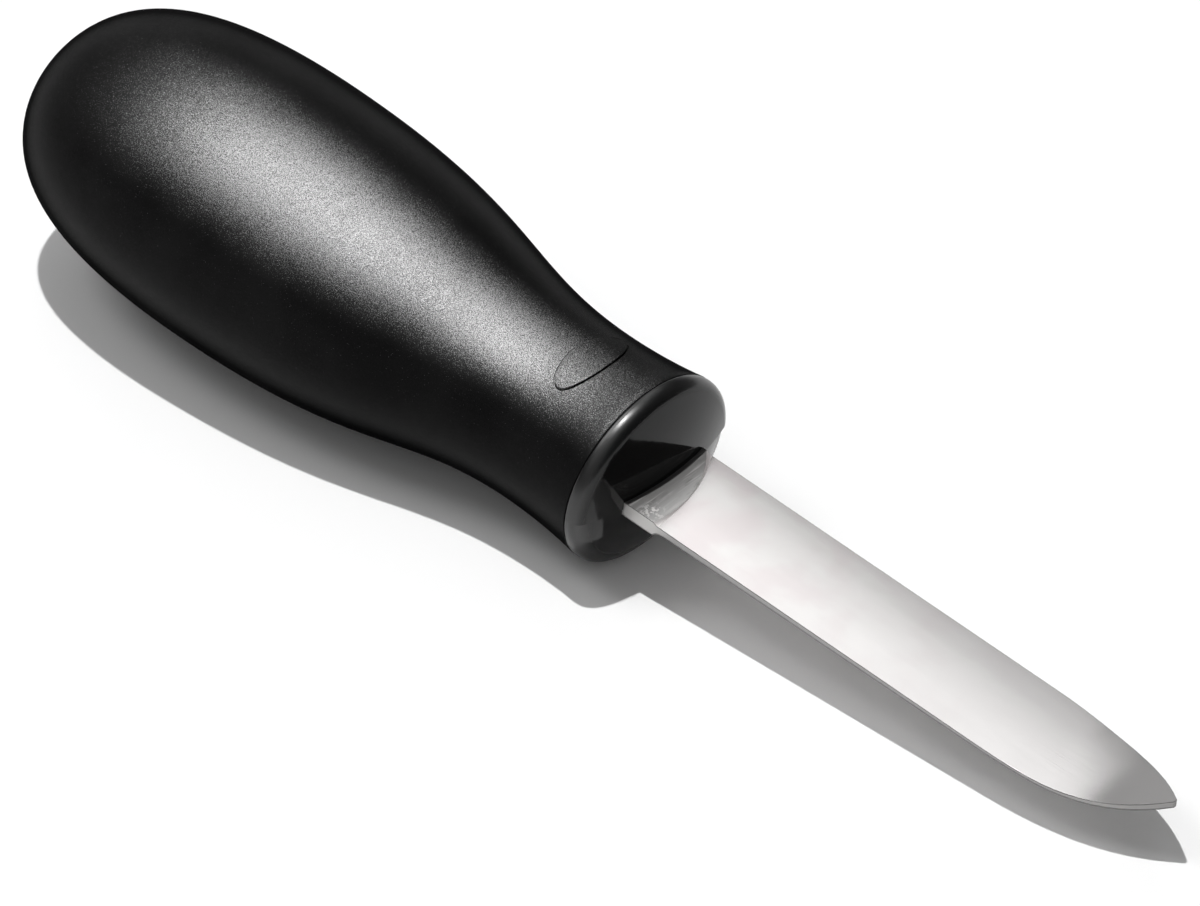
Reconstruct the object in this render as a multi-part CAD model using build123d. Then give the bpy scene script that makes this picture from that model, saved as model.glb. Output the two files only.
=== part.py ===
from build123d import *
import math
import os

# Oyster knife with a short turned-up blade, a hard core and a soft pear-shaped grip, in millimetres.
# It is drawn with the handle along X, the middle of the bolster's face at zero and the blade towards +X,
# and then laid down as it lies on a table, with the nose low and the underside at Z zero.

# Overall reach, each way from the bolster's face
handle_length = 91.5
blade_reach = 73.5

# Pear-shaped outside of the grip
bulb_width = 35.3
bulb_height = 32.0
bulb_from_butt = 31.0
neck_width = 23.3
neck_from_face = 14.6
mouth_width = 25.0
grip_wall = 2.8
seam_round = 0.2

# Handles of the curve from the butt to the bulb: out from the butt, and back from the bulb
butt_handle_shares = (0.70, 0.70)
# Handles of the curve from the bulb to the neck: on from the bulb, and back from the neck
shoulder_handle_shares = (0.595, 0.354)

# Plain oval pad that stands proud on top of the neck
badge_length = 10.8
badge_width = 4.4
badge_from_face = 12.3
badge_rise = 0.25

# Bolster, the hard front end of the core
# The lower half falls away more towards its rim, so a small step shows where the halves meet
bolster_show = 3.9
upper_face_crown = 2.2
upper_rim_round = 1.7
lower_face_crown = 2.8
lower_rim_round = 0.8

# Blade stock and tang
blade_width = 12.8
stock_thickness = 2.0
shoulder_depth = 5.5
tang_width = 9.0
tang_length = 62.0
tang_end_round = 4.0
shoulder_round = 1.5
tang_clearance = 0.12

# Ground part of the blade
grind_depth = 0.06
blade_crown = 0.22
edge_thickness_root = 1.0
edge_thickness_bend = 0.45
plunge_radius = 1.6
grind_front_radius = 14.0
grind_front_back = 10.0
grind_front_side = 3.5
skin = 0.02

# Point of the blade: outline seen from above, and the bend seen from the side
point_length = 22.5
point_blunt = 0.4
bend_length = 15.5
bend_radius = 39.0
# Handles of the curve from the straight side to the point, along and in from the side
point_curve_shares = ((0.505, 0.0), (0.775, 0.32))

# Pegs of the upper half, through the tang into the lower half
peg_diameter = 4.4
peg_reach = 6.0
peg_clearance = 0.15
peg_from_face = (21.0, 47.0)

# Run past a surface, so that cuts go right through
overrun = 1.0

# How finely the outlines are walked to find how the knife lies
outline_steps = 300
settling_turns = 6

stock_top = stock_thickness / 2
stock_bottom = -stock_thickness / 2
ground_top = stock_top - grind_depth
press_share = bulb_height / bulb_width


def pear_profile(inset):
    """Half outline of the grip from the butt over the bulb and the neck to the mouth, drawn in by inset."""
    butt = inset - handle_length
    bulb = bulb_from_butt - handle_length
    neck = -neck_from_face
    bulb_radius = bulb_width / 2 - inset
    neck_radius = neck_width / 2 - inset
    mouth = (-bolster_show, mouth_width / 2 - inset)
    rise_share, crest_share = butt_handle_shares
    fall_share, run_out_share = shoulder_handle_shares
    rise = (butt, rise_share * bulb_radius)
    crest = (bulb - crest_share * (bulb - butt), bulb_radius)
    fall = (bulb + fall_share * (neck - bulb), bulb_radius)
    run_out = (neck - run_out_share * (neck - bulb), neck_radius)
    end = Bezier((butt, 0), rise, crest, (bulb, bulb_radius))
    shoulder = Bezier((bulb, bulb_radius), fall, run_out, (neck, neck_radius))
    flare = TangentArc((neck, neck_radius), mouth, tangent=(1, 0))
    return [end, shoulder, flare]


def turned(profile):
    """Turns a half outline about X. Handle pieces are drawn round, and pressed to their oval at the end."""
    return revolve(profile, axis=Axis.X)


def pressed(solid):
    """Presses a round handle piece to the oval section, so its heights shrink by press_share."""
    return scale(solid, by=(1, 1, press_share))


def pear_face(inset, lip_round):
    """Half outline of the pear as a face, with the corner at the mouth rounded where lip_round is given."""
    outline = pear_profile(inset)
    butt = outline[0] @ 0
    mouth = outline[-1] @ 1
    foot = (mouth.X, 0)
    face = make_face(outline + [Line(mouth, foot), Line(foot, butt)])
    if lip_round:
        face = fillet(face.vertices().sort_by_distance(mouth)[:1], radius=lip_round)
    return face


def bolster_face(crown_depth, rim_round):
    """Half outline of the bolster: seam corner, short land, round rim and crowned face."""
    radius = mouth_width / 2
    corner = (-crown_depth, radius)
    back = (-bolster_show, radius)
    foot = (-bolster_show, 0)
    crown = TangentArc((0, 0), corner, tangent=(0, 1))
    face = make_face([crown, Line(corner, back), Line(back, foot), Line(foot, (0, 0))])
    face = fillet(face.vertices().sort_by_distance(corner)[:1], radius=rim_round)
    return fillet(face.vertices().sort_by_distance(back)[:1], radius=seam_round)


def tang_plan():
    """Outline of the stock that the core holds: the full-width root and the narrower tang behind it."""
    root = Pos(-shoulder_depth / 2, 0) * Rectangle(shoulder_depth, blade_width)
    tang = Pos(-tang_length / 2, 0) * Rectangle(tang_length, tang_width)
    plan = Sketch() + root + tang
    shoulder = plan.vertices().group_by(Axis.X)[1]
    plan = fillet(shoulder.sort_by(lambda corner: abs(corner.Y))[:2], radius=shoulder_round)
    return fillet(plan.vertices().group_by(Axis.X)[0], radius=tang_end_round)


def blade_plan():
    """Outline of the blade from above, from the bolster's face to the point."""
    side = blade_width / 2
    tip = point_blunt / 2
    straight = blade_reach - point_length
    edges = [Line((0, -side), (0, side)), Line((blade_reach, -tip), (blade_reach, tip))]
    for hand in (-1, 1):
        handles = []
        for along_share, in_share in point_curve_shares:
            inward = in_share * (side - tip)
            handles.append((straight + along_share * point_length, hand * (side - inward)))
        edges.append(Line((0, hand * side), (straight, hand * side)))
        edges.append(Bezier((straight, hand * side), *handles, (blade_reach, hand * tip)))
    return make_face(edges)


def ground_section(place, edge_thickness):
    """Section of the ground blade, crowned on both faces, and wider than the blade by the overrun."""
    side = blade_width / 2 + overrun
    crown = blade_crown * (side / (blade_width / 2)) ** 2
    top_edge = ground_top - crown
    bottom_middle = ground_top - 2 * blade_crown - edge_thickness
    bottom_edge = bottom_middle + crown
    top = ThreePointArc((-side, top_edge), (0, ground_top), (side, top_edge))
    bottom = ThreePointArc((-side, bottom_edge), (0, bottom_middle), (side, bottom_edge))
    near = Line((-side, top_edge), (-side, bottom_edge))
    far = Line((side, top_edge), (side, bottom_edge))
    return Plane.YZ.offset(place) * make_face([top, far, bottom, near])


def plunge_spool():
    """Stock left unground at the root: a disc whose rim is hollowed above and below by the grinding wheel."""
    floor_top = ground_top - blade_crown - skin
    floor_bottom = ground_top - blade_crown - edge_thickness_root + skin
    rise_top = stock_top - floor_top
    rise_bottom = floor_bottom - stock_bottom
    run_top = math.sqrt(plunge_radius ** 2 - (plunge_radius - rise_top) ** 2)
    run_bottom = math.sqrt(plunge_radius ** 2 - (plunge_radius - rise_bottom) ** 2)
    rim_top = (grind_front_radius, stock_top)
    rim_bottom = (grind_front_radius, stock_bottom)
    end_top = (grind_front_radius + run_top, floor_top)
    end_bottom = (grind_front_radius + run_bottom, floor_bottom)
    edges = [
        Line((0, stock_top), rim_top),
        TangentArc(end_top, rim_top, tangent=(-1, 0)),
        Line(end_top, end_bottom),
        TangentArc(end_bottom, rim_bottom, tangent=(-1, 0)),
        Line(rim_bottom, (0, stock_bottom)),
        Line((0, stock_bottom), (0, stock_top)),
    ]
    spool = revolve(Plane.XZ * make_face(edges), axis=Axis.Z)
    return Pos(-grind_front_back, -grind_front_side, 0) * spool


def make_blade():
    """Blade with its tang: flat stock in the handle, a thin crowned blade and an upswept point."""
    bend_start = blade_reach - bend_length
    bend_section = ground_section(bend_start, edge_thickness_bend)
    straight = loft([ground_section(-overrun, edge_thickness_root), bend_section])
    bend_centre = (bend_start, 0, ground_top + bend_radius)
    bend_degrees = math.degrees(math.asin((bend_length + overrun) / bend_radius))
    bend = revolve(bend_section, axis=Axis(bend_centre, (0, -1, 0)), revolution_arc=bend_degrees)
    tall = bend_radius
    outline = extrude(Pos(0, 0, -tall / 2) * blade_plan(), amount=tall)
    ground = (straight + bend + plunge_spool()) & outline
    held = extrude(Pos(0, 0, stock_bottom) * tang_plan(), amount=stock_thickness)
    blade = ground + held
    for place in peg_from_face:
        hole = Cylinder(peg_diameter / 2 + peg_clearance, stock_thickness + 2 * overrun)
        blade -= Pos(-place, 0, 0) * hole
    return blade


def make_core():
    """Hard core in an upper and a lower half that close on the tang, with the bolster at the front."""
    inside = turned(pear_face(grip_wall, 0))
    upper_body = inside + turned(bolster_face(upper_face_crown, upper_rim_round))
    lower_body = inside + turned(bolster_face(lower_face_crown, lower_rim_round))
    pocket_plan = offset(tang_plan(), amount=tang_clearance)
    slot = Pos(overrun / 2, 0) * Rectangle(overrun + 2 * tang_clearance, blade_width + 2 * tang_clearance)
    pocket_floor = stock_bottom / press_share
    pocket_roof = stock_top / press_share
    pocket = extrude(Pos(0, 0, pocket_floor) * (pocket_plan + slot), amount=pocket_roof - pocket_floor)
    upper_block = Pos(0, 0, bulb_width / 2) * Box(2 * handle_length, 2 * bulb_width, bulb_width)
    lower_block = Pos(0, 0, -bulb_width / 2) * Box(2 * handle_length, 2 * bulb_width, bulb_width)
    upper = (upper_body & upper_block) - pocket
    lower = (lower_body & lower_block) - pocket
    hung = (Align.CENTER, Align.CENTER, Align.MAX)
    for place in peg_from_face:
        peg = Cylinder(peg_diameter / 2, (peg_reach + stock_top) / press_share, align=hung)
        upper += Pos(-place, 0, pocket_roof) * peg
        depth = (peg_reach + peg_clearance) / press_share
        lower -= Pos(-place, 0, 0) * Cylinder(peg_diameter / 2 + peg_clearance, depth, align=hung)
    return pressed(upper), pressed(lower)


def make_grip():
    """Soft grip moulded over the core, closed round the butt, with a plain oval pad on the neck."""
    oval = Pos(-badge_from_face, 0, 0) * Ellipse(badge_width / 2, badge_length / 2)
    pad = extrude(oval, amount=bulb_width) & turned(pear_face(-badge_rise, 0))
    return pressed(turned(pear_face(0, seam_round)) + pad - turned(pear_face(grip_wall, 0)))


def resting_degrees():
    """Angle by which the nose dips when the bulb and the bolster both touch the table."""
    bulb = [edge @ (step / outline_steps) for edge in pear_profile(0) for step in range(outline_steps)]
    nose_face = bolster_face(lower_face_crown, lower_rim_round)
    nose = [edge @ (step / outline_steps) for edge in nose_face.edges() for step in range(outline_steps)]
    angle = 0
    for turn in range(settling_turns):
        across = math.sin(angle)
        down = math.cos(angle) * press_share
        low_bulb = max(bulb, key=lambda point: point.X * across + point.Y * down)
        low_nose = max(nose, key=lambda point: point.X * across + point.Y * down)
        drop = (low_bulb.Y - low_nose.Y) * press_share
        angle = math.atan2(drop, low_nose.X - low_bulb.X)
    return math.degrees(angle)


core_upper, core_lower = make_core()
nodes = {
    "blade": make_blade(),
    "handle_core_upper": core_upper,
    "handle_core_lower": core_lower,
    "soft_grip": make_grip(),
}

# Lay the knife down and bring the middle of its underside to the origin
dip = resting_degrees()
laid = {name: Rot(0, dip, 0) * solid for name, solid in nodes.items()}
box = Compound(children=[Part(solid.wrapped) for solid in laid.values()]).bounding_box()
to_origin = Pos(-box.center().X, 0, -box.min.Z)
print("nose dips by", round(dip, 3), "degrees, face at X", round(to_origin.position.X, 3))
print("box", [round(v, 3) for v in box.size], "lift", round(to_origin.position.Z, 3))

os.makedirs("parts", exist_ok=True)
for name, solid in laid.items():
    export_step(to_origin * solid, f"parts/{name}.step")
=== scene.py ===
import bpy
import math
from mathutils import Matrix, Quaternion, Vector


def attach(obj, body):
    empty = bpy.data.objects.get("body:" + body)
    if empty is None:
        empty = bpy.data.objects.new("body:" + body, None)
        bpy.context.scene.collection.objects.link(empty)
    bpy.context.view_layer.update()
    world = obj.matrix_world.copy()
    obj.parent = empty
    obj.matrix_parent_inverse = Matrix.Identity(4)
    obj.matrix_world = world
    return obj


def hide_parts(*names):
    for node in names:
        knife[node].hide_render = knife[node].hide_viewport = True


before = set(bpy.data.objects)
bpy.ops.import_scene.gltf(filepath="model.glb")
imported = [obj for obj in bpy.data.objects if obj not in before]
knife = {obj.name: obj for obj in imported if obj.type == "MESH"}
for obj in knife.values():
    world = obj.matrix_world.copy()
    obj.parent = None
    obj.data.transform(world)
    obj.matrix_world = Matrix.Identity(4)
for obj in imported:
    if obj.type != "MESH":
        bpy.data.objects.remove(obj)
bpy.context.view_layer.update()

mm = 0.001


def deselectAll():
    if bpy.context.mode != "OBJECT":
        bpy.ops.object.mode_set(mode="OBJECT")
    bpy.ops.object.select_all(action="DESELECT")


deselectAll()

# Camera, at the photograph's viewing angle
camera = {
    "azimuth": 41.95,
    "elevation": 39.59,
    "roll": 0.432,
    "distance": 1.780,
    "lens": 486.3,          # mm, a long one
    "sensor": 36,           # mm wide
    "clip": (0.1, 100),
    "aimAt": (0.0, 0.0, 0.012),
    "slideRight": -0.00084,
    "slideUp": -0.00117,
}


def addCamera(values):
    a = math.radians(values["azimuth"])
    e = math.radians(values["elevation"])
    back = Vector((math.sin(a) * math.cos(e), -math.cos(a) * math.cos(e), math.sin(e)))
    turn = back.to_track_quat("Z", "Y") @ Quaternion((0, 0, 1), math.radians(values["roll"]))
    slide = turn @ Vector((values["slideRight"], values["slideUp"], values["distance"]))
    bpy.ops.object.camera_add(location=Vector(values["aimAt"]) + slide)
    made = bpy.context.object
    made.name = "photoCamera"
    made.rotation_mode = "QUATERNION"
    made.rotation_quaternion = turn
    made.data.sensor_fit = "HORIZONTAL"
    made.data.sensor_width = values["sensor"]
    made.data.lens = values["lens"]
    made.data.clip_start, made.data.clip_end = values["clip"]
    bpy.context.scene.camera = made


addCamera(camera)
print("camera placed")


# Shader sums: a wire is one socket, and a recipe is one node tree
class Wire:
    def __init__(self, recipe, socket):
        self.recipe = recipe
        self.socket = socket

    def sum(self, operation, first, second):
        return self.recipe.node("ShaderNodeMath", {"operation": operation}, {0: first, 1: second})

    def __add__(self, other):
        return self.sum("ADD", self, other)

    def __radd__(self, other):
        return self.sum("ADD", other, self)

    def __sub__(self, other):
        return self.sum("SUBTRACT", self, other)

    def __rsub__(self, other):
        return self.sum("SUBTRACT", other, self)

    def __mul__(self, other):
        return self.sum("MULTIPLY", self, other)

    def __rmul__(self, other):
        return self.sum("MULTIPLY", other, self)

    def __truediv__(self, other):
        return self.sum("DIVIDE", self, other)

    def absolute(self):
        return self.sum("ABSOLUTE", self, 0)

    def between(self, low, high):
        values = {"Value": self, "From Min": low, "From Max": high}
        return self.recipe.node("ShaderNodeMapRange", {"interpolation_type": "SMOOTHSTEP"}, values)


class Recipe:
    def __init__(self, tree):
        self.tree = tree
        self.tree.nodes.clear()

    def node(self, kind, settings, values, output=0):
        made = self.tree.nodes.new(kind)
        for name, value in settings.items():
            setattr(made, name, value)
        for name, value in values.items():
            if isinstance(value, Wire):
                self.tree.links.new(value.socket, made.inputs[name])
            else:
                made.inputs[name].default_value = value
        if len(made.outputs) == 0:
            return None
        return Wire(self, made.outputs[output])

    def place(self):
        return self.node("ShaderNodeTexCoord", {}, {}, "Object")

    def distance(self, here, there):
        return self.node("ShaderNodeVectorMath", {"operation": "DISTANCE"}, {0: here, 1: there}, "Value")

    def length(self, vector):
        return self.node("ShaderNodeVectorMath", {"operation": "LENGTH"}, {0: vector}, "Value")

    def noise(self, where, scale, detail, roughness=0.5):
        values = {"Vector": where, "Scale": scale, "Detail": detail, "Roughness": roughness}
        return self.node("ShaderNodeTexNoise", {}, values)

    def mix(self, share, first, second):
        values = {0: share, 6: first, 7: second}
        return self.node("ShaderNodeMix", {"data_type": "RGBA"}, values, 2)

    def split(self, vector, axis):
        return self.node("ShaderNodeSeparateXYZ", {}, {"Vector": vector}, axis)

    def bump(self, height, strength, depth, normal=None):
        values = {"Height": height, "Strength": strength, "Distance": depth}
        if normal is not None:
            values["Normal"] = normal
        return self.node("ShaderNodeBump", {}, values)


def newMaterial(name, build, values):
    material = bpy.data.materials.new(name)
    material.use_nodes = True
    recipe = Recipe(material.node_tree)
    recipe.node("ShaderNodeOutputMaterial", {}, {"Surface": build(recipe, values)})
    return material


# Floor: lit and shadowed round the knife, and plain white further out, as a sweep is
floor = {
    "radius": 12.0,
    "sides": 96,
    "wall": 0.5,            # metres that the rim turns up
    "colour": (0.90, 0.90, 0.90, 1),
    "lift": 0.01,           # a little white on top, where the lamps fall short
    "fadeFrom": 0.12,       # metres from the knife where the plain white begins
    "fadeTo": 0.90,
}


def floorShader(recipe, values):
    seen = recipe.node("ShaderNodeLightPath", {}, {}, "Is Camera Ray")
    seen = seen + recipe.node("ShaderNodeLightPath", {}, {}, "Is Glossy Ray")
    seen = seen + recipe.node("ShaderNodeLightPath", {}, {}, "Is Transmission Ray")
    seen = recipe.node("ShaderNodeClamp", {}, {"Value": seen})
    away = recipe.length(recipe.place())
    plain = recipe.node("ShaderNodeBsdfDiffuse", {}, {"Color": values["colour"]})
    white = {"Color": (1, 1, 1, 1)}
    lift = recipe.node("ShaderNodeEmission", {}, white | {"Strength": seen * values["lift"]})
    far = recipe.node("ShaderNodeEmission", {}, white | {"Strength": seen})
    near = recipe.node("ShaderNodeAddShader", {}, {0: plain, 1: lift})
    fade = away.between(values["fadeFrom"], values["fadeTo"])
    return recipe.node("ShaderNodeMixShader", {}, {0: fade, 1: near, 2: far})


def addFloor(values):
    deselectAll()
    size = {"vertices": values["sides"], "radius": values["radius"]}
    bpy.ops.mesh.primitive_circle_add(fill_type="NGON", **size)
    made = bpy.context.object
    made.name = "floor"
    bpy.ops.object.mode_set(mode="EDIT")
    bpy.ops.mesh.select_all(action="SELECT")
    bpy.ops.mesh.region_to_loop()
    bpy.ops.mesh.extrude_edges_move(TRANSFORM_OT_translate={"value": (0, 0, values["wall"])})
    bpy.ops.object.mode_set(mode="OBJECT")
    made.data.materials.append(newMaterial("paleSweep", floorShader, values))


addFloor(floor)
print("floor laid")


# Studio light: a small lamp nearly overhead draws the shadow, a soft box beside it widens the
# gleams, two wide panels fill in, and the blade's upper side mirrors the last three
lamps = {
    "overhead": {
        "towards": (-0.118, -0.046, 0.992),
        "distance": 1.5,
        "size": (0.03, 0.03),
        "watts": 16.8,
    },
    "softBox": {
        "towards": (-0.46, -0.32, 0.83),
        "distance": 1.5,
        "size": (0.5, 0.5),
        "watts": 3.6,
    },
    "ceilingPanel": {
        "towards": (-0.15, -0.22, 0.96),
        "distance": 1.4,
        "size": (2.0, 2.0),
        "watts": 4.0,
    },
    "frontPanel": {
        "towards": (0.25, -0.78, 0.57),
        "distance": 1.8,
        "size": (2.4, 1.6),
        "watts": 2.8,
    },
    "bladePanel": {
        "towards": (-0.385, 0.555, 0.74),
        "distance": 1.6,
        "along": (-0.775, -0.20, -0.63),    # the way its long side runs
        "size": (0.76, 0.46),
        "watts": 1.15,
    },
    "bladeStrip": {
        "towards": (-0.385, 0.45, 0.80),
        "distance": 1.6,
        "along": (-0.775, -0.20, -0.63),
        "size": (0.76, 0.30),
        "watts": 0.32,
    },
    "tipPanel": {
        "towards": (-0.76, 0.58, 0.30),
        "distance": 1.6,
        "along": (-0.60, 0.0, -0.80),
        "size": (0.95, 0.60),
        "watts": 0.80,
    },
}
room = {
    "colour": (1, 1, 1, 1),
    "fill": 0.07,
}


def addLamp(name, values):
    towards = Vector(values["towards"]).normalized()
    bpy.ops.object.light_add(type="AREA", location=towards * values["distance"])
    made = bpy.context.object
    made.name = name
    made.rotation_mode = "QUATERNION"
    made.rotation_quaternion = towards.to_track_quat("Z", "Y")
    if "along" in values:
        up = towards.cross(Vector(values["along"])).normalized()
        axes = Matrix((up.cross(towards), up, towards)).transposed()
        made.rotation_quaternion = axes.to_quaternion()
    made.data.shape = "RECTANGLE"
    made.data.size = values["size"][0]
    made.data.size_y = values["size"][1]
    made.data.energy = values["watts"]
    made.visible_camera = False


def lightRoom(values):
    world = bpy.data.worlds.new("plainRoom")
    world.use_nodes = True
    recipe = Recipe(world.node_tree)
    glow = {"Color": values["colour"], "Strength": values["fill"]}
    plain = recipe.node("ShaderNodeBackground", {}, glow)
    recipe.node("ShaderNodeOutputWorld", {}, {"Surface": plain})
    bpy.context.scene.world = world


for lampName, lampValues in lamps.items():
    addLamp(lampName, lampValues)
lightRoom(room)
bpy.context.scene.view_settings.view_transform = "Standard"
print("lights set")


# How the knife lies, on its bulb and on the bolster's end of the handle
lie = {
    "dip": 5.385,           # degrees that the handle's axis dips towards the point
    "faceAt": (8.807 * mm, 0.0, 10.974 * mm),   # the middle of the bolster's face
    "press": 32.0 / 35.3,   # the handle's oval, height to width
}


# Places counted from the bolster's face, with X along the handle's axis to the point
def knifePlace(recipe, stretch=(1, 1, 1), turn=0):
    values = {
        "Vector": recipe.place(),
        "Location": lie["faceAt"],
        "Rotation": (0, math.radians(lie["dip"]), 0),
    }
    straight = recipe.node("ShaderNodeMapping", {"vector_type": "TEXTURE"}, values)
    values = {"Vector": straight, "Rotation": (0, 0, math.radians(turn)), "Scale": stretch}
    return recipe.node("ShaderNodeMapping", {"vector_type": "POINT"}, values)


def knifeNoise(recipe, scale, detail, roughness=0.5, stretch=(1, 1, 1), turn=0):
    return recipe.noise(knifePlace(recipe, stretch, turn), scale, detail, roughness)


# Steel of the blade: ground and polished, but for the flat at its root and its rougher, darker sides;
# painted shade darkens the ground steel towards the point and most where the point bends up, darkens the
# flat next to the bolster, and draws dark lines along the sides' rounded edges
steel = {
    "polished": (0.77, 0.755, 0.745, 1),
    "flushed": (0.745, 0.70, 0.70, 1),
    # painted shade: the ground steel darkens towards the point, and most where the point bends up
    "shadeTowardsPoint": (0.68, 0.665, 0.66, 1),
    "tip": (0.56, 0.55, 0.545, 1),
    # painted shade: the flat's own dull grey, darkened next to the bolster
    "flatShadedByBolster": (0.21, 0.207, 0.204, 1),
    "flatByPlunge": (0.47, 0.465, 0.46, 1),
    "stain": (0.10, 0.098, 0.096, 1),
    "side": (0.34, 0.335, 0.33, 1),
    "sideByRoot": (0.55, 0.54, 0.53, 1),
    # painted shade: dark lines along the sides' rounded upper and lower edges
    "browShade": (0.03, 0.029, 0.028, 1),
    "underShade": (0.09, 0.088, 0.086, 1),
    "chip": (0.68, 0.67, 0.66, 1),
    "roughness": 0.23,
    "flatRoughness": 0.56,
    "plungeRoughness": 0.60,
    "sideRoughness": 0.38,
    "flatEnd": (9.0 * mm, 10.8 * mm),       # the flat and the plunge lie behind this
    "flatLevel": (0.990 * mm, 0.996 * mm),  # half the stock, which only the flat reaches
    "flatFade": (0.5 * mm, 4.0 * mm),
    "plungeFacing": (0.105, 0.14),
    "sideFacing": (0.35, 0.60),
    "sideFade": (3 * mm, 7 * mm),
    "browFacing": (0.08, 0.40),
    "underFacing": (-0.16, -0.02),
    "pointFade": (4 * mm, 58 * mm),
    "tipFade": (59 * mm, 66 * mm),
    "tipSlant": 0.8,        # how far the painted shade where the point bends up leans back towards the far edge
    "clouds": {"scale": 150.0, "detail": 3.0},
    "cloudFade": (0.40, 0.66),
    "cloudGloss": 0.05,
    "grinding": {"scale": 160.0, "detail": 3.0, "stretch": (1.0, 7.0, 7.0)},
    "grindingGloss": 0.03,
    "grindingRelief": 0.12,
    "scratches": {"scale": 700.0, "detail": 1.0, "stretch": (0.25, 9.0, 1.0), "turn": 20},
    "scratchFade": (0.52, 0.72),
    "scratchGloss": 0.05,
    "scratchRelief": 0.5,
    "scratchedPatch": (60 * mm, -1.5 * mm, 0),
    "scratchedReach": (1 * mm, 5 * mm),
    "crust": {"scale": 1100.0, "detail": 4.0, "roughness": 0.65, "stretch": (1.0, 0.3, 1.0)},
    "crustFade": (0.50, 0.80),
    "crustShare": 0.6,
    "crustGloss": 0.25,
    "crustRelief": 4.0,
    "streaks": {"scale": 3200.0, "detail": 2.0, "stretch": (1.0, 0.06, 1.0)},
    "streakFade": (0.55, 0.75),
    "streakShare": 0.35,
    "chips": {"scale": 2600.0, "detail": 3.0},
    "chipFade": (0.50, 0.58),
    "chippedPatch": (2.7 * mm, -5.3 * mm, 1.0 * mm),
    "chippedReach": (0.2 * mm, 2.1 * mm),
    "reliefStrength": 0.25,
    "reliefDepth": 0.003 * mm,
    "edgeRadius": 0.10 * mm,
    "edgeSamples": 4,
    "browRadius": 0.30 * mm,
    "browSamples": 6,
}


def rootFlatColour(recipe, values, along, crust):
    # The flat's own dull grey, with painted shade darkening it next to the bolster
    flat = recipe.mix(along.between(*values["flatFade"]), values["flatShadedByBolster"], values["flatByPlunge"])
    stained = crust.between(*values["crustFade"]) * values["crustShare"]
    flat = recipe.mix(stained, flat, values["stain"])
    chipped = knifeNoise(recipe, **values["chips"]).between(*values["chipFade"])
    off = recipe.distance(knifePlace(recipe), values["chippedPatch"])
    chipped = chipped * (1 - off.between(*values["chippedReach"]))
    streaked = knifeNoise(recipe, **values["streaks"]).between(*values["streakFade"])
    flat = recipe.mix(streaked * values["streakShare"], flat, values["chip"])
    return recipe.mix(chipped, flat, values["chip"])


def sideColour(recipe, values, along):
    radius = {"Radius": values["browRadius"]}
    rounded = recipe.node("ShaderNodeBevel", {"samples": values["browSamples"]}, radius)
    # Painted shade: the rounded upper and lower edges of each side are drawn dark
    turned = recipe.split(rounded, "Z")
    sides = recipe.mix(along.between(*values["sideFade"]), values["sideByRoot"], values["side"])
    sides = recipe.mix(turned.between(*values["browFacing"]), sides, values["browShade"])
    return recipe.mix(turned.between(*values["underFacing"]), values["underShade"], sides)


def groundColour(recipe, values, along, across, cloud):
    ground = recipe.mix(cloud.between(*values["cloudFade"]), values["polished"], values["flushed"])
    # Painted shade: darker towards the point, and most where the point bends up, leaning back towards the
    # far edge
    ground = recipe.mix(along.between(*values["pointFade"]), ground, values["shadeTowardsPoint"])
    slanted = along + across * values["tipSlant"]
    return recipe.mix(slanted.between(*values["tipFade"]), ground, values["tip"])


def steelShader(recipe, values):
    here = knifePlace(recipe)
    along = recipe.split(here, "X")
    height = recipe.split(here, "Z").absolute()
    facing = recipe.node("ShaderNodeTexCoord", {}, {}, "Normal")
    byRoot = 1 - along.between(*values["flatEnd"])
    rootFlat = height.between(*values["flatLevel"]) * byRoot
    plunge = recipe.split(facing, "X").between(*values["plungeFacing"]) * byRoot
    side = 1 - recipe.split(facing, "Z").absolute().between(*values["sideFacing"])
    grinding = knifeNoise(recipe, **values["grinding"])
    cloud = knifeNoise(recipe, **values["clouds"])
    crust = knifeNoise(recipe, **values["crust"])
    scratch = knifeNoise(recipe, **values["scratches"]).between(*values["scratchFade"])
    off = recipe.distance(here, values["scratchedPatch"])
    scratch = scratch * (1 - off.between(*values["scratchedReach"]))
    ground = groundColour(recipe, values, along, recipe.split(here, "Y"), cloud)
    flat = rootFlatColour(recipe, values, along, crust)
    sides = sideColour(recipe, values, along)
    colour = recipe.mix(side, recipe.mix(rootFlat, ground, flat), sides)
    rough = values["roughness"] + (grinding - 0.5) * values["grindingGloss"]
    rough = rough + (cloud - 0.5) * values["cloudGloss"] + scratch * values["scratchGloss"]
    rough = rough + (values["plungeRoughness"] - rough) * plunge
    dull = values["flatRoughness"] + (crust - 0.5) * values["crustGloss"]
    rough = rough + (dull - rough) * rootFlat
    rough = rough + (values["sideRoughness"] - rough) * side
    relief = grinding * values["grindingRelief"] + scratch * values["scratchRelief"]
    relief = relief + crust * rootFlat * values["crustRelief"]
    radius = {"Radius": values["edgeRadius"]}
    eased = recipe.node("ShaderNodeBevel", {"samples": values["edgeSamples"]}, radius)
    finish = {
        "Base Color": colour,
        "Metallic": 1.0,
        "Roughness": rough,
        "Normal": recipe.bump(relief, values["reliefStrength"], values["reliefDepth"], eased),
    }
    return recipe.node("ShaderNodeBsdfPrincipled", {}, finish)


# Hard black plastic of the bolster, polished on its face and rubbed along its rim
plastic = {
    "colour": (0.0025, 0.0025, 0.0026, 1),
    "roughness": 0.08,
    "specular": 0.30,
    "rimRoughness": 0.32,
    "rimSpecular": 0.75,
    "rim": (-2.7 * mm, -1.7 * mm),
    "haze": {"scale": 500.0, "detail": 3.0},
    "hazeGloss": 0.06,
    "ripple": {"scale": 4000.0, "detail": 1.0},
    "rippleStrength": 0.1,
    "rippleDepth": 0.002 * mm,
}


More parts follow.
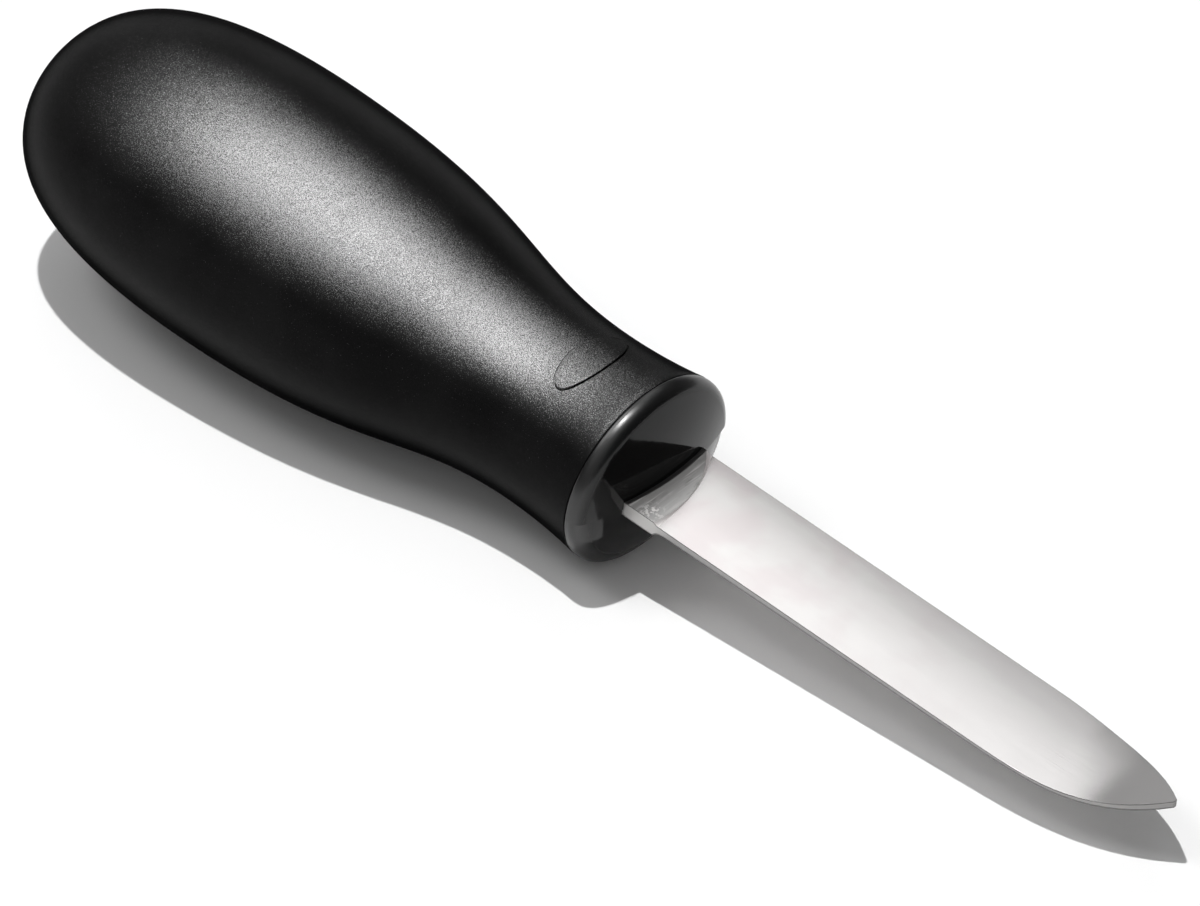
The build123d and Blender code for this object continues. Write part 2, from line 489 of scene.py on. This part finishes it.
def plasticShader(recipe, values):
    haze = recipe.noise(recipe.place(), **values["haze"])
    ripple = recipe.noise(recipe.place(), **values["ripple"])
    uneven = (haze - 0.5) * values["hazeGloss"]
    finish = {
        "Base Color": values["colour"],
        "Normal": recipe.bump(ripple, values["rippleStrength"], values["rippleDepth"]),
    }
    rubbedAndGleam = finish | {
        "Roughness": values["rimRoughness"] + uneven,
        "Specular IOR Level": values["rimSpecular"],
    }
    polished = finish | {
        "Roughness": values["roughness"] + uneven,
        "Specular IOR Level": values["specular"],
    }
    rim = recipe.node("ShaderNodeBsdfPrincipled", {}, rubbedAndGleam)
    face = recipe.node("ShaderNodeBsdfPrincipled", {}, polished)
    onFace = recipe.split(knifePlace(recipe), "X").between(*values["rim"])
    return recipe.node("ShaderNodeMixShader", {}, {0: onFace, 1: rim, 2: face})


# Soft black rubber of the grip: a fine eroded grain, and a painted gleam: a dull copy on the flanks and a
# glossy copy along the top, leant round towards the near side where the highlight falls
rubber = {
    "colour": (0.0022, 0.0022, 0.0023, 1),
    "dusty": (0.0045, 0.0045, 0.0046, 1),
    "dustFade": (0.35, 0.70),
    "flankRoughness": 0.42,
    "flankSpecular": 0.05,
    "gleamRoughness": 0.43,
    "gleamSpecular": 1.0,
    "gleamIor": 2.3,
    "handling": {"scale": 120.0, "detail": 3.0},
    "handlingGloss": 0.06,
    "gleamSpread": 0.06,     # how ragged the handling noise makes the painted gleam's edge
    "grain": 0.078 * mm,
    "grainDetail": 0.0,
    "grainGloss": 0.3,
    "grainStrength": 0.7,
    "grainDepth": 0.04 * mm,
    "pits": 0.195 * mm,
    "pitDetail": 2.0,
    "pitShare": 0.3,
    "gleamTurn": 23,         # degrees from the top of the handle round to its near side, where the painted gleam is centred
    "neckTurn": 15,         # the same by the neck
    "neckFrom": (-42 * mm, -14 * mm),
    "gleamReach": (0.78, 1.0),   # cosine of the angle from there
    "haloReach": (0.45, 1.0),   # a fainter painted gleam round that one
    "haloShare": 0.12,
    "buttFade": (-91 * mm, -56 * mm),
    "mouthFade": (-20 * mm, -3 * mm),
    "mouthShare": 0.45,     # how much of the painted gleam is lost by the mouth
    "grainGleam": (0.80, 1.02),  # the grain's high spots take the painted gleam first
    "grainShift": 0.42,     # and where the painted gleam is strongest, all but its pits do
    "grainShare": 0.85,     # the rest of the painted gleam is even
    "edgeBlend": 0.5,
    "grazing": (0.50, 0.80),    # the grain hides its own gloss from there on, edge on
    "grazingShare": 0.94,
}


# The share of each spot's finish that takes the glossy copy: a painted gleam, leant towards the near side
# where the highlight falls, faded at the butt and the mouth, and speckled by the grain
def paintedGleamShare(recipe, values, grain, handled):
    across = knifePlace(recipe, (1, 1, 1 / lie["press"]))
    onlyAcross = {0: across, 1: (0, 1, 1)}
    flattened = recipe.node("ShaderNodeVectorMath", {"operation": "MULTIPLY"}, onlyAcross)
    along = recipe.split(across, "X")
    byNeck = along.between(*values["neckFrom"])
    turn, neckTurn = math.radians(values["gleamTurn"]), math.radians(values["neckTurn"])
    cosine = math.cos(turn) + (math.cos(neckTurn) - math.cos(turn)) * byNeck
    sine = math.sin(turn) + (math.sin(neckTurn) - math.sin(turn)) * byNeck
    leant = recipe.split(across, "Z") * cosine - recipe.split(across, "Y") * sine
    top = leant / recipe.length(flattened) + (handled - 0.5) * values["gleamSpread"]
    gleam = top.between(*values["gleamReach"]) * (1 - values["haloShare"])
    gleam = gleam + top.between(*values["haloReach"]) * values["haloShare"]
    byMouth = along.between(*values["mouthFade"])
    gleam = gleam * along.between(*values["buttFade"]) * (1 - byMouth * values["mouthShare"])
    shift = gleam * values["grainShift"]
    low, high = values["grainGleam"]
    speckled = grain.between(low - shift, high - shift)
    return speckled * values["grainShare"] + gleam * (1 - values["grainShare"])


def rubberShader(recipe, values):
    here = recipe.place()
    grain = recipe.noise(here, 1 / values["grain"], values["grainDetail"])
    pits = recipe.noise(here, 1 / values["pits"], values["pitDetail"])
    handled = recipe.noise(here, **values["handling"])
    uneven = (grain - 0.5) * values["grainGloss"] + (handled - 0.5) * values["handlingGloss"]
    relief = grain + pits * values["pitShare"]
    dusted = handled.between(*values["dustFade"])
    finish = {
        "Base Color": recipe.mix(dusted, values["colour"], values["dusty"]),
        "Normal": recipe.bump(relief, values["grainStrength"], values["grainDepth"]),
    }
    flank = finish | {
        "Roughness": values["flankRoughness"] + uneven,
        "Specular IOR Level": values["flankSpecular"],
    }
    gleam = finish | {
        "Roughness": values["gleamRoughness"] + uneven,
        "Specular IOR Level": values["gleamSpecular"],
        "IOR": values["gleamIor"],
    }
    # A dull copy for the flanks and a glossy copy for the crest, mixed by the painted gleam's share
    sides = recipe.node("ShaderNodeBsdfPrincipled", {}, flank)
    crest = recipe.node("ShaderNodeBsdfPrincipled", {}, gleam)
    share = paintedGleamShare(recipe, values, grain, handled)
    rubbedAndGleam = recipe.node("ShaderNodeMixShader", {}, {0: share, 1: sides, 2: crest})
    dull = recipe.node("ShaderNodeBsdfDiffuse", {}, {"Color": finish["Base Color"]})
    edgeOn = recipe.node("ShaderNodeLayerWeight", {}, {"Blend": values["edgeBlend"]}, "Facing")
    hidden = edgeOn.between(*values["grazing"]) * values["grazingShare"]
    return recipe.node("ShaderNodeMixShader", {}, {0: hidden, 1: rubbedAndGleam, 2: dull})


knife["blade"].material_slots[0].material = newMaterial("groundSteel", steelShader, steel)
blackPlastic = newMaterial("polishedBlack", plasticShader, plastic)
knife["handle_core_upper"].material_slots[0].material = blackPlastic
knife["handle_core_lower"].material_slots[0].material = blackPlastic
print("steel and plastic given")


# Grip sleeve, extruded ring by ring from the mouth over the pear and round the butt
sleeve = {
    "length": 91.5 * mm,
    "bulbRadius": 17.65 * mm,
    "bulbFromButt": 31.0 * mm,
    "neckRadius": 11.65 * mm,
    "neckFromFace": 14.6 * mm,
    "mouthRadius": 12.5 * mm,
    "mouthFromFace": 3.9 * mm,
    "wall": 2.8 * mm,
    "lip": 0.2 * mm,        # radius of the mouth's outer edge
    "buttHandles": (0.70, 0.70),        # the curve's handles, as shares of its reach
    "shoulderHandles": (0.595, 0.354),
    "around": 160,
    "buttRings": 40,
    "shoulderRings": 44,
    "flareRings": 10,
    "lipRings": 5,
    "smooth": 35,           # degrees, past which an edge stays sharp
}

# Plain oval pad on top of the neck, moulded with the sleeve, and a fine groove round it
pad = {
    "length": 10.8 * mm,
    "width": 4.4 * mm,
    "fromFace": 12.3 * mm,
    "rise": 0.25 * mm,
    "edge": 0.05 * mm,
    "edgeSteps": 2,
    "edgeAngle": 50,
    "groove": 0.17 * mm,
    "grooveDepth": 0.17 * mm,
    "foot": 9.3 * mm,       # height above the axis where the oval's block starts
    "top": 17.0 * mm,       # and where it ends, before it is cut to the skin
    "around": 96,
    "skinAround": 256,      # points round the pears that cut the pad and the groove's floor
}


def bezierPoint(points, t):
    weights = ((1 - t) ** 3, 3 * t * (1 - t) ** 2, 3 * t * t * (1 - t), t ** 3)
    along = sum(w * p[0] for w, p in zip(weights, points))
    out = sum(w * p[1] for w, p in zip(weights, points))
    return along, out


def pearRings(values, inset):
    butt = inset - values["length"]
    bulb = values["bulbFromButt"] - values["length"]
    neck = -values["neckFromFace"]
    mouth = -values["mouthFromFace"]
    bulbOut = values["bulbRadius"] - inset
    neckOut = values["neckRadius"] - inset
    mouthOut = values["mouthRadius"] - inset
    rise, crest = values["buttHandles"]
    fall, runOut = values["shoulderHandles"]
    end = ((butt, 0), (butt, rise * bulbOut), (bulb - crest * (bulb - butt), bulbOut), (bulb, bulbOut))
    side = (
        (bulb, bulbOut),
        (bulb + fall * (neck - bulb), bulbOut),
        (neck - runOut * (neck - bulb), neckOut),
        (neck, neckOut),
    )
    flare = ((mouth - neck) ** 2 + (mouthOut - neckOut) ** 2) / (2 * (mouthOut - neckOut))
    rings = []
    for i in range(values["flareRings"]):
        along = mouth + (neck - mouth) * i / values["flareRings"]
        rings.append((along, neckOut + flare - math.sqrt(flare ** 2 - (along - neck) ** 2)))
    for i in range(values["shoulderRings"]):
        rings.append(bezierPoint(side, 1 - i / values["shoulderRings"]))
    for i in range(values["buttRings"]):
        rings.append(bezierPoint(end, 1 - i / values["buttRings"]))
    return rings + [(butt, 0)]


def ringShell(name, rings, around):
    deselectAll()
    along, out = rings[0]
    bpy.ops.mesh.primitive_circle_add(
        vertices=around,
        radius=out,
        location=(along, 0, 0),
        rotation=(0, math.radians(90), 0),
    )
    made = bpy.context.object
    made.name = name
    bpy.ops.object.transform_apply(location=True, rotation=True, scale=True)
    bpy.ops.object.mode_set(mode="EDIT")
    bpy.ops.mesh.select_all(action="SELECT")
    for nextAlong, nextOut in rings[1:-1]:
        grow = nextOut / out
        bpy.ops.mesh.extrude_region_move(TRANSFORM_OT_translate={"value": (nextAlong - along, 0, 0)})
        bpy.ops.transform.resize(value=(1, grow, grow), center_override=(nextAlong, 0, 0))
        along, out = nextAlong, nextOut
    bpy.ops.mesh.extrude_region_move(TRANSFORM_OT_translate={"value": (rings[-1][0] - along, 0, 0)})
    bpy.ops.mesh.merge(type="CENTER")      # closes the pole at the butt
    bpy.ops.object.mode_set(mode="OBJECT")
    return made


def applyModifier(made, kind, settings):
    deselectAll()
    made.select_set(True)
    bpy.context.view_layer.objects.active = made
    added = made.modifiers.new(kind.lower(), kind)
    for name, value in settings.items():
        setattr(added, name, value)
    bpy.ops.object.modifier_apply(modifier=added.name)


def closeMouth(made):
    bpy.ops.object.mode_set(mode="EDIT")
    bpy.ops.mesh.select_mode(type="EDGE")
    bpy.ops.mesh.select_all(action="DESELECT")
    bpy.ops.mesh.select_non_manifold(extend=False, use_wire=False, use_boundary=True)
    bpy.ops.mesh.bridge_edge_loops()
    bpy.ops.mesh.select_all(action="SELECT")
    bpy.ops.mesh.normals_make_consistent(inside=False)
    bpy.ops.object.mode_set(mode="OBJECT")


def addSleeveShell(values):
    outer = pearRings(values, 0)
    inner = pearRings(values, values["wall"])
    mouth, mouthOut = outer[0]
    lip = values["lip"]
    lipRings = []
    for i in range(values["lipRings"]):
        turn = math.radians(90 * i / values["lipRings"])
        lipRings.append((mouth - lip + lip * math.cos(turn), mouthOut - lip + lip * math.sin(turn)))
    outer = lipRings + [ring for ring in outer if ring[0] < mouth - lip]
    made = ringShell("grip_sleeve", outer, values["around"])
    inside = ringShell("sleeve_inside", inner, values["around"])
    deselectAll()
    inside.select_set(True)
    made.select_set(True)
    bpy.context.view_layer.objects.active = made
    bpy.ops.object.join()
    closeMouth(made)
    return made


def addOval(name, values, spread):
    deselectAll()
    bpy.ops.mesh.primitive_cylinder_add(
        vertices=values["around"],
        radius=1,
        depth=1,
        location=(-values["fromFace"], 0, (values["foot"] + values["top"]) / 2),
        scale=(
            values["width"] / 2 + spread,
            values["length"] / 2 + spread,
            values["top"] - values["foot"],
        ),
    )
    made = bpy.context.object
    made.name = name
    bpy.ops.object.transform_apply(location=True, rotation=True, scale=True)
    return made


def addPear(name, values, inset, around):
    made = ringShell(name, pearRings(values, inset), around)
    bpy.ops.object.mode_set(mode="EDIT")
    bpy.ops.mesh.select_all(action="DESELECT")
    bpy.ops.mesh.select_mode(type="EDGE")
    bpy.ops.mesh.select_non_manifold(extend=False, use_wire=False, use_boundary=True)
    bpy.ops.mesh.edge_face_add()
    bpy.ops.mesh.select_all(action="SELECT")
    bpy.ops.mesh.normals_make_consistent(inside=False)
    bpy.ops.object.mode_set(mode="OBJECT")
    return made


def combine(made, operation, other):
    applyModifier(made, "BOOLEAN", {"operation": operation, "solver": "EXACT", "object": other})
    bpy.data.objects.remove(other)


def addPad(made, values, sleeveValues):
    around = values["skinAround"]
    groove = addOval("pad_groove", values, values["groove"])
    grooveFloor = addPear("groove_floor", sleeveValues, values["grooveDepth"], around)
    combine(groove, "DIFFERENCE", grooveFloor)
    combine(made, "DIFFERENCE", groove)
    oval = addOval("oval_pad", values, 0)
    combine(oval, "INTERSECT", addPear("pad_top", sleeveValues, -values["rise"], around))
    bevel = {
        "width": values["edge"],
        "segments": values["edgeSteps"],
        "limit_method": "ANGLE",
        "angle_limit": math.radians(values["edgeAngle"]),
    }
    applyModifier(oval, "BEVEL", bevel)
    combine(made, "UNION", oval)


def layDown(made):
    bpy.ops.object.mode_set(mode="EDIT")
    bpy.ops.mesh.select_all(action="SELECT")
    bpy.ops.transform.resize(value=(1, 1, lie["press"]), center_override=(0, 0, 0))
    bpy.ops.object.mode_set(mode="OBJECT")
    made.rotation_euler = (0, math.radians(lie["dip"]), 0)
    made.location = lie["faceAt"]
    bpy.ops.object.transform_apply(location=True, rotation=True, scale=True)


def addSleeve(values, padValues):
    made = addSleeveShell(values)
    addPad(made, padValues, values)
    deselectAll()
    made.select_set(True)
    bpy.context.view_layer.objects.active = made
    layDown(made)
    bpy.ops.object.shade_smooth_by_angle(angle=math.radians(values["smooth"]))
    made.data.materials.clear()
    made.data.materials.append(newMaterial("grainedRubber", rubberShader, rubber))
    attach(made, "root")
    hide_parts("soft_grip")


addSleeve(sleeve, pad)
print("grip sleeve made")
